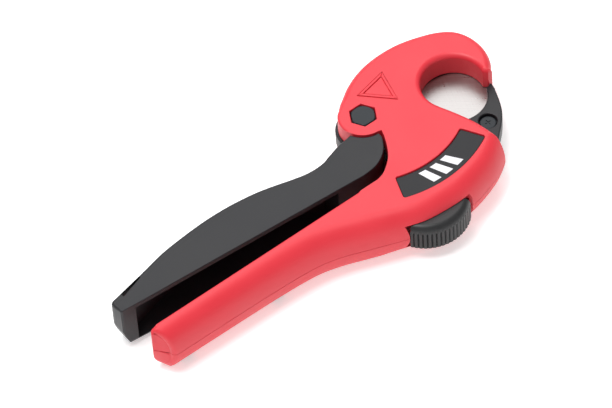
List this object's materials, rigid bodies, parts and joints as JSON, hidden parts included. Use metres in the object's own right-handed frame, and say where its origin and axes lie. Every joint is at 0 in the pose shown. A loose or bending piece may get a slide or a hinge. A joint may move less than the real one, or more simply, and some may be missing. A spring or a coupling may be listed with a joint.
{
  "type": "pipe cutter",
  "caption": "One-hand shears for plastic pipe: two-part red housing with a round jaw, black lever that carries a steel blade, hex pivot bolt and a knurled thumb lock.",
  "frame": {"origin": "centre of the tool's box, on the rear face that it lies on", "axes": "+X along the grip towards the jaw, +Y from the grip towards the lever, +Z out of the front face, along the pivot bolt"},
  "size_m": [0.2056, 0.0886, 0.027],
  "materials": {
    "shell": "satin moulded plastic with a fine grain",
    "label": "satin",
    "lever": "fine matt grain",
    "pad": "matt",
    "blade": "brushed",
    "steel": "plain",
    "dark_steel": "black oxide"
  },
  "bodies": {
    "housing": {"front_shell": "shell", "rear_shell": "shell", "label_insert": "label", "pivot_bolt": "dark_steel", "pivot_nut": "dark_steel", "pivot_sleeve": "steel", "rear_washer": "steel", "front_washer": "steel", "return_spring": "steel", "lock_screw": "steel", "lock_spring": "steel", "shell_screw_1": "dark_steel", "shell_screw_2": "dark_steel", "shell_screw_3": "dark_steel", "shell_screw_4": "dark_steel", "shell_screw_5": "dark_steel"},
    "lever": {"lever": "lever", "lever_pad": "pad", "blade": "blade", "blade_screw_1": "dark_steel", "blade_screw_2": "dark_steel", "blade_nut_1": "steel", "blade_nut_2": "steel"},
    "lock": {"lock_catch": "lever"}
  },
  "joints": [
    {"name": "lever_hinge", "type": "hinge", "parent": "housing", "child": "lever", "pos_m": [0.0392, 0.0213, 0.0135], "axis": [0, 0, -1], "range_deg": [0, 42]},
    {"name": "lock_hinge", "type": "hinge", "parent": "housing", "child": "lock", "pos_m": [0.0357, -0.0247, 0.02], "axis": [0, 0, 1], "range_deg": [0, 5]}
  ]
}
